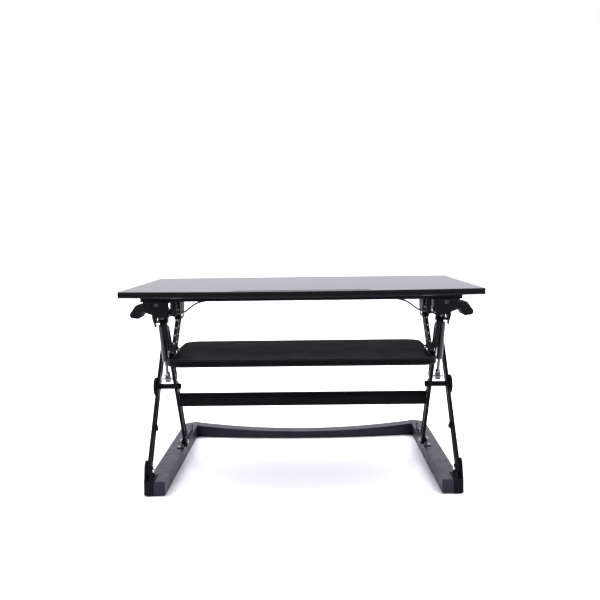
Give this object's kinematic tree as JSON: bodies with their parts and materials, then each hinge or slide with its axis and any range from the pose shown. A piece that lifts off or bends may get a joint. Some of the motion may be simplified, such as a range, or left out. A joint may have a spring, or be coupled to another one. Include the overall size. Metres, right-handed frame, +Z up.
{
  "type": "standing desk converter",
  "caption": "Desktop riser: bowed black panel on a scissor lift with gas springs, squeeze paddles, a hanging keyboard tray and a U-shaped floor frame.",
  "frame": {"origin": "on the supporting surface, under the middle of the outline's width and depth", "axes": "+X to the user's right, +Y away from the user, +Z up; fully raised at rest"},
  "size_m": [0.892, 0.71, 0.5],
  "materials": {
    "black_powder_coat": "satin fine-texture powder coat",
    "base_powder_coat": "satin powder coat on the broad base",
    "laminate": "black laminate over board, satin sheen",
    "bright_steel": "plated pins and rods",
    "zinc_steel": "zinc-plated screws",
    "black_plastic": "moulded, fine spark texture",
    "nylon": "black nylon",
    "rubber": "soft rubber",
    "spring_paint": "gloss black enamel"
  },
  "bodies": {
    "base": {"rail_left": "base_powder_coat", "rail_right": "base_powder_coat", "rear_member": "base_powder_coat", "foot_block_left": "black_powder_coat", "foot_block_right": "black_powder_coat", "foot_pins": "bright_steel", "slide_guide_left": "base_powder_coat", "slide_guide_right": "base_powder_coat", "guide_screws": "zinc_steel", "rubber_feet": "rubber"},
    "outer_link_left": {"outer_link_left": "black_powder_coat", "pivot_disc_left": "black_plastic", "link_collar_left": "black_plastic", "top_slide_pin_left": "bright_steel"},
    "outer_link_right": {"outer_link_right": "black_powder_coat", "pivot_disc_right": "black_plastic", "link_collar_right": "black_plastic", "top_slide_pin_right": "bright_steel"},
    "top_block_left": {"top_slide_block_left": "nylon"},
    "top_block_right": {"top_slide_block_right": "nylon"},
    "inner_frame": {"inner_link_left": "black_powder_coat", "inner_link_right": "black_powder_coat", "crossbar": "black_powder_coat", "middle_pivot_bolts": "black_powder_coat", "pivot_sleeves": "black_powder_coat", "spring_rod_left": "bright_steel", "spring_rod_right": "bright_steel", "spring_forks": "bright_steel", "spring_pins": "bright_steel", "base_slide_pins": "bright_steel"},
    "base_blocks": {"base_slide_blocks": "nylon"},
    "spring_cylinder_left": {"spring_cylinder_left": "spring_paint"},
    "spring_cylinder_right": {"spring_cylinder_right": "spring_paint"},
    "desktop": {"desktop_panel": "laminate", "tablet_slot_liner": "rubber", "front_rail": "black_powder_coat", "rear_rail": "black_powder_coat", "side_rail_left": "black_powder_coat", "side_rail_right": "black_powder_coat", "frame_screws": "zinc_steel", "handle_bracket_left": "black_powder_coat", "handle_bracket_right": "black_powder_coat", "front_pivot_bolts": "bright_steel", "slide_track_left": "black_powder_coat", "slide_track_right": "black_powder_coat", "hanger_brackets": "black_powder_coat", "hanger_top_pins": "bright_steel", "release_cable": "black_plastic", "cable_clips": "black_plastic", "paddle_pins": "bright_steel", "paddle_springs": "zinc_steel"},
    "paddle_left": {"paddle_left": "black_plastic"},
    "paddle_right": {"paddle_right": "black_plastic"},
    "front_hanger_left": {"front_hanger_left": "black_powder_coat"},
    "front_hanger_right": {"front_hanger_right": "black_powder_coat"},
    "rear_hanger_left": {"rear_hanger_left": "black_powder_coat"},
    "rear_hanger_right": {"rear_hanger_right": "black_powder_coat"},
    "tray": {"keyboard_tray": "laminate", "tray_brackets": "black_powder_coat", "hanger_tray_pins": "bright_steel"}
  },
  "joints": [
    {"name": "lift", "type": "hinge", "parent": "base", "child": "outer_link_left", "pos_m": [0, -0.246, 0.054], "axis": [-1, 0, 0], "range_deg": [0, 49.87]},
    {"name": "right_outer_link", "type": "hinge", "parent": "base", "child": "outer_link_right", "pos_m": [0, -0.246, 0.054], "axis": [-1, 0, 0], "range_deg": [0, 50.37]},
    {"name": "middle_pivot", "type": "hinge", "parent": "outer_link_left", "child": "inner_frame", "pos_m": [0, -0.10242, 0.2375], "axis": [1, 0, 0], "range_deg": [0, 100.73]},
    {"name": "desktop_level", "type": "hinge", "parent": "inner_frame", "child": "desktop", "pos_m": [0, -0.246, 0.421], "axis": [-1, 0, 0], "range_deg": [0, 50.37]},
    {"name": "base_blocks_level", "type": "hinge", "parent": "inner_frame", "child": "base_blocks", "pos_m": [0, 0.04117, 0.054], "axis": [-1, 0, 0], "range_deg": [0, 50.37]},
    {"name": "top_block_left_level", "type": "hinge", "parent": "outer_link_left", "child": "top_block_left", "pos_m": [0, 0.04117, 0.421], "axis": [1, 0, 0], "range_deg": [0, 50.37]},
    {"name": "top_block_right_level", "type": "hinge", "parent": "outer_link_right", "child": "top_block_right", "pos_m": [0, 0.04117, 0.421], "axis": [1, 0, 0], "range_deg": [0, 50.37]},
    {"name": "left_spring_stroke", "type": "slide", "parent": "inner_frame", "child": "spring_cylinder_left", "axis": [0, 0.4949, -0.8689], "range_m": [0, 0.02813]},
    {"name": "right_spring_stroke", "type": "slide", "parent": "inner_frame", "child": "spring_cylinder_right", "axis": [0, 0.4949, -0.8689], "range_m": [0, 0.02813]},
    {"name": "front_hanger_left_swing", "type": "hinge", "parent": "desktop", "child": "front_hanger_left", "pos_m": [0, -0.225, 0.44], "axis": [-1, 0, 0], "range_deg": [0, 15.69]},
    {"name": "front_hanger_right_swing", "type": "hinge", "parent": "desktop", "child": "front_hanger_right", "pos_m": [0, -0.225, 0.44], "axis": [-1, 0, 0], "range_deg": [0, 15.69]},
    {"name": "rear_hanger_left_swing", "type": "hinge", "parent": "desktop", "child": "rear_hanger_left", "pos_m": [0, -0.191, 0.44], "axis": [-1, 0, 0], "range_deg": [0, 15.69]},
    {"name": "rear_hanger_right_swing", "type": "hinge", "parent": "desktop", "child": "rear_hanger_right", "pos_m": [0, -0.191, 0.44], "axis": [-1, 0, 0], "range_deg": [0, 15.69]},
    {"name": "tray_level", "type": "hinge", "parent": "front_hanger_left", "child": "tray", "pos_m": [0, -0.308, 0.357], "axis": [1, 0, 0], "range_deg": [0, 15.69]},
    {"name": "left_paddle_squeeze", "type": "hinge", "parent": "desktop", "child": "paddle_left", "pos_m": [-0.371, -0.25, 0.459], "axis": [0, 1, 0], "range_deg": [0, 12], "stiffness_Nm_per_rad": 0.8, "springref_deg": -6.88},
    {"name": "right_paddle_squeeze", "type": "hinge", "parent": "desktop", "child": "paddle_right", "pos_m": [0.371, -0.25, 0.459], "axis": [0, -1, 0], "range_deg": [0, 12], "stiffness_Nm_per_rad": 0.8, "springref_deg": -6.88}
  ],
  "couplings": [
    {"joint": "right_outer_link", "follows": "lift", "ratio": 1},
    {"joint": "middle_pivot", "follows": "lift", "ratio": 2},
    {"joint": "desktop_level", "follows": "lift", "ratio": 1},
    {"joint": "base_blocks_level", "follows": "lift", "ratio": 1},
    {"joint": "top_block_left_level", "follows": "lift", "ratio": 1},
    {"joint": "top_block_right_level", "follows": "lift", "ratio": 1},
    {"joint": "left_spring_stroke", "follows": "lift", "m_per_rad": 0.031746},
    {"joint": "right_spring_stroke", "follows": "lift", "m_per_rad": 0.031746},
    {"joint": "front_hanger_left_swing", "follows": "lift", "ratio": 0.30858},
    {"joint": "front_hanger_right_swing", "follows": "lift", "ratio": 0.30858},
    {"joint": "rear_hanger_left_swing", "follows": "lift", "ratio": 0.30858},
    {"joint": "rear_hanger_right_swing", "follows": "lift", "ratio": 0.30858},
    {"joint": "tray_level", "follows": "lift", "ratio": 0.30858}
  ]
}
